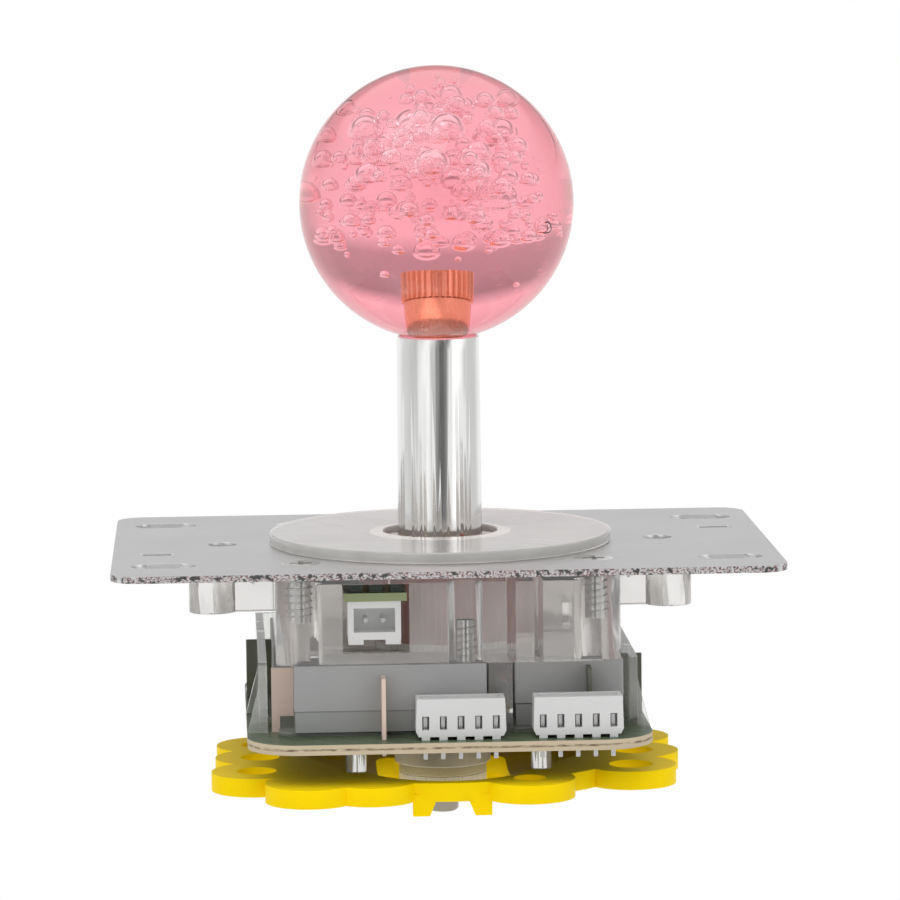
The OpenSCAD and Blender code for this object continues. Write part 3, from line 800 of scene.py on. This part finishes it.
# Gate

def lip_bar():
    """Bar that carries the back of the gate's collar down past the washer."""
    inner, outer, top, foot = 9.9, 11.0, -36.9, -38.6
    left = [(-inner, 7.0), (-inner, 9.0), (-9.0, inner)]
    right = [(-x, y) for x, y in reversed(left)]
    outside = [(outer, 7.0), (outer, 9.4), (9.4, outer)]
    return upright(left + right + outside + [(-x, y) for x, y in reversed(outside)], foot, top)


def build_gate():
    g = settings().gate
    yellow = material("yellow_plastic", plastic(tuple(g.yellow), 0.48, 0.03, 0.05, glow=0.12,
                                                shine=0.07))
    dress(["gate"], yellow, g.edge_round, 3)
    piece("gate_lip", lip_bar(), yellow, rounding=0.0002)


# Stage

# Light round the object: turn from the front in degrees and brightness
STUDIO_ROUND = [
    (-180, 0.98), (-140, 0.95), (-126, 0.62), (-108, 0.80), (-76, 0.62), (-51, 1.05),
    (-39, 1.2), (-27, 0.85), (-16, 0.42), (0, 0.13), (14, 0.22), (27, 0.9), (38, 1.6),
    (63, 1.2), (77, 0.72), (108, 0.72), (126, 0.60), (140, 0.95), (180, 0.98)]
# Light behind the object: height angle in degrees and brightness
STUDIO_BEHIND = [(-90, 1.05), (5, 1.0), (11, 0.55), (26, 0.42), (34, 1.1), (90, 1.1)]


def ramp(nodes, value, stops):
    """Greys that change with an angle; the stops run over the angle's whole range."""
    first, last = stops[0][0], stops[-1][0]
    span = nodes.span(value, math.radians(first), math.radians(last))
    node = nodes.node("ShaderNodeValToRGB", {"Fac": span})
    elements = node.color_ramp.elements
    while len(elements) > 1:
        elements.remove(elements[-1])
    for i, (angle, grey) in enumerate(stops):
        place = (angle - first) / (last - first)
        stop = elements.new(place) if i else elements[0]
        stop.position, stop.color = place, (grey, grey, grey, 1.0)
    return node.outputs["Color"]


def build_world():
    world = bpy.data.worlds.new("Studio")
    world.use_nodes = True
    n = Nodes(world.node_tree)
    coords = n.node("ShaderNodeTexCoord").outputs["Generated"]
    x, y, z = n.node("ShaderNodeSeparateXYZ", {0: coords}).outputs
    turn = n.maths("ARCTAN2", x, n.maths("MULTIPLY", y, -1.0))
    rise = n.maths("ARCSINE", z)
    near = n.span(n.maths("ABSOLUTE", rise), 0.7, 0.35)
    wall = n.mix(near, (1.05, 1.05, 1.05), ramp(n, turn, STUDIO_ROUND))
    studio = n.mix(n.span(y, 0.35, 0.7), wall, ramp(n, rise, STUDIO_BEHIND))
    light = n.node("ShaderNodeBackground", {"Color": studio, "Strength": 1.0}).outputs[0]
    white = n.node("ShaderNodeBackground", {
        "Color": (1.0, 1.0, 1.0), "Strength": 1.0}).outputs[0]
    path = n.node("ShaderNodeLightPath")
    n.node("ShaderNodeOutputWorld", {
        "Surface": n.blend(path.outputs["Is Camera Ray"], light, white)})
    bpy.context.scene.world = world


def build_floor(depth):
    """Pale floor far below, which the eye, metal and glass see as plain white."""
    s = Shade("floor")
    pale = s.surface(base_color=(0.85, 0.85, 0.85), roughness=0.8)
    white = s.node("ShaderNodeEmission", {"Strength": 1.0}).outputs[0]
    path = s.node("ShaderNodeLightPath")
    seen = s.maths("MAXIMUM", path.outputs["Is Camera Ray"], path.outputs["Is Glossy Ray"])
    seen = s.maths("MAXIMUM", seen, path.outputs["Is Transmission Ray"])
    look = s.finish(s.blend(seen, pale, white))
    radius, thick = 3000.0, 10.0
    verts, faces = lathe([(0.0, -depth - thick), (radius, -depth - thick), (radius, -depth),
                          (0.0, -depth)], 96)
    mesh = bpy.data.meshes.new("floor")
    mesh.from_pydata([(x * MM, y * MM, z * MM) for x, y, z in verts], [], faces)
    mesh.materials.append(look)
    floor = bpy.data.objects.new("floor", mesh)
    bpy.context.scene.collection.objects.link(floor)
    return floor


def build_lamp():
    lamp = bpy.data.lights.new("Key", "AREA")
    lamp.shape, lamp.size, lamp.energy = "DISK", 0.9, settings().stage.key
    key = bpy.data.objects.new("Key", lamp)
    key.location = (-0.28, -0.44, 0.84)
    key.rotation_euler = Vector(key.location).to_track_quat("Z", "Y").to_euler()
    bpy.context.scene.collection.objects.link(key)
    return key


def build_camera():
    """Camera whose aim puts the origin at its place in the picture."""
    s = settings().stage
    width, sensor = 900.0, 36.0
    origin_x, origin_y = 439.18, 540.45
    cam = bpy.data.cameras.new("Camera")
    cam.lens, cam.sensor_width = s.lens, sensor
    cam.clip_start, cam.clip_end = 0.01, 20.0
    focal = s.lens / sensor * width
    a, e, r = s.azimuth, s.elevation, s.roll
    back = Vector((math.sin(a) * math.cos(e), -math.cos(a) * math.cos(e), math.sin(e)))
    right = Vector((math.cos(a), math.sin(a), 0.0))
    pan = math.atan((origin_x - width / 2) / focal)
    tilt = math.atan(-(origin_y - width / 2) / focal)
    turn = (Matrix.Rotation(r, 3, "Z") @ Matrix.Rotation(tilt, 3, "X")
            @ Matrix.Rotation(-pan, 3, "Y") @ Matrix((right, back.cross(right), back)))
    camera = bpy.data.objects.new("Camera", cam)
    camera.matrix_world = Matrix.Translation(back * s.distance) @ turn.transposed().to_4x4()
    bpy.context.scene.collection.objects.link(camera)
    bpy.context.scene.camera = camera


def build_stage():
    s = settings().stage
    build_world()
    key = build_lamp()
    build_floor(s.floor / MM)
    build_camera()
    bpy.context.scene.view_settings.view_transform = "Standard"


# Operators

class JOYSTICK_OT_ball(bpy.types.Operator):
    """Cast the ball with its bubbles round the insert"""
    bl_idname = "joystick.ball"
    bl_label = "Ball"
    bl_options = {"REGISTER", "UNDO"}

    def execute(self, context):
        build_ball()
        return {"FINISHED"}


class JOYSTICK_OT_insert(bpy.types.Operator):
    """Turn and knurl the threaded insert in the ball"""
    bl_idname = "joystick.insert"
    bl_label = "Insert"
    bl_options = {"REGISTER", "UNDO"}

    def execute(self, context):
        build_insert()
        return {"FINISHED"}


class JOYSTICK_OT_lever(bpy.types.Operator):
    """Finish the shaft, its cover and its washer"""
    bl_idname = "joystick.lever"
    bl_label = "Lever"
    bl_options = {"REGISTER", "UNDO"}

    def execute(self, context):
        build_lever()
        return {"FINISHED"}


class JOYSTICK_OT_joint(bpy.types.Operator):
    """Finish the ball joint, the actuator and the spring"""
    bl_idname = "joystick.joint"
    bl_label = "Ball joint"
    bl_options = {"REGISTER", "UNDO"}

    def execute(self, context):
        build_joint()
        return {"FINISHED"}


class JOYSTICK_OT_plate(bpy.types.Operator):
    """Finish the mounting plate, the dust washer and the screw heads"""
    bl_idname = "joystick.plate"
    bl_label = "Plate"
    bl_options = {"REGISTER", "UNDO"}

    def execute(self, context):
        build_plate()
        return {"FINISHED"}


class JOYSTICK_OT_threads(bpy.types.Operator):
    """Cut threads on the screws that show through the clear plastic"""
    bl_idname = "joystick.threads"
    bl_label = "Screw threads"
    bl_options = {"REGISTER", "UNDO"}

    def execute(self, context):
        build_threads()
        return {"FINISHED"}


class JOYSTICK_OT_housing(bpy.types.Operator):
    """Finish the clear housing and frame"""
    bl_idname = "joystick.housing"
    bl_label = "Housing"
    bl_options = {"REGISTER", "UNDO"}

    def execute(self, context):
        build_housing()
        return {"FINISHED"}


class JOYSTICK_OT_switches(bpy.types.Operator):
    """Finish the four switches"""
    bl_idname = "joystick.switches"
    bl_label = "Switches"
    bl_options = {"REGISTER", "UNDO"}

    def execute(self, context):
        build_switches()
        return {"FINISHED"}


class JOYSTICK_OT_board(bpy.types.Operator):
    """Finish the board, its headers and its solder joints"""
    bl_idname = "joystick.board"
    bl_label = "Board"
    bl_options = {"REGISTER", "UNDO"}

    def execute(self, context):
        build_board()
        return {"FINISHED"}


class JOYSTICK_OT_lamp_board(bpy.types.Operator):
    """Finish the small lamp board and its header"""
    bl_idname = "joystick.lamp_board"
    bl_label = "Lamp board"
    bl_options = {"REGISTER", "UNDO"}

    def execute(self, context):
        build_lamp_board()
        return {"FINISHED"}


class JOYSTICK_OT_gate(bpy.types.Operator):
    """Finish the gate below the board"""
    bl_idname = "joystick.gate"
    bl_label = "Gate"
    bl_options = {"REGISTER", "UNDO"}

    def execute(self, context):
        build_gate()
        return {"FINISHED"}


class JOYSTICK_OT_stage(bpy.types.Operator):
    """Set the studio light and the camera"""
    bl_idname = "joystick.stage"
    bl_label = "Stage"
    bl_options = {"REGISTER", "UNDO"}

    def execute(self, context):
        build_stage()
        return {"FINISHED"}


STEPS = (JOYSTICK_OT_ball, JOYSTICK_OT_insert, JOYSTICK_OT_lever, JOYSTICK_OT_joint,
         JOYSTICK_OT_plate, JOYSTICK_OT_threads, JOYSTICK_OT_housing, JOYSTICK_OT_switches,
         JOYSTICK_OT_board, JOYSTICK_OT_lamp_board, JOYSTICK_OT_gate, JOYSTICK_OT_stage)


class JOYSTICK_PT_panel(bpy.types.Panel):
    """Lists the steps that build the joystick"""
    bl_idname = "JOYSTICK_PT_panel"
    bl_label = "Joystick"
    bl_space_type = "VIEW_3D"
    bl_region_type = "UI"
    bl_category = "Joystick"

    def draw(self, context):
        for step in STEPS:
            self.layout.operator(step.bl_idname)


GROUPS = (BallSettings, LeverSettings, PlateSettings, HousingSettings, SwitchSettings,
          BoardSettings, GateSettings, StageSettings, JoystickSettings)


def register():
    for cls in GROUPS + STEPS + (JOYSTICK_PT_panel,):
        bpy.utils.register_class(cls)
    bpy.types.Scene.joystick = PointerProperty(type=JoystickSettings)


def unregister():
    del bpy.types.Scene.joystick
    for cls in reversed(GROUPS + STEPS + (JOYSTICK_PT_panel,)):
        bpy.utils.unregister_class(cls)


def main():
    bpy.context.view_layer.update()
    register()
    for step in STEPS:
        group, name = step.bl_idname.split(".")
        getattr(getattr(bpy.ops, group), name)()


if __name__ == "__main__":
    main()
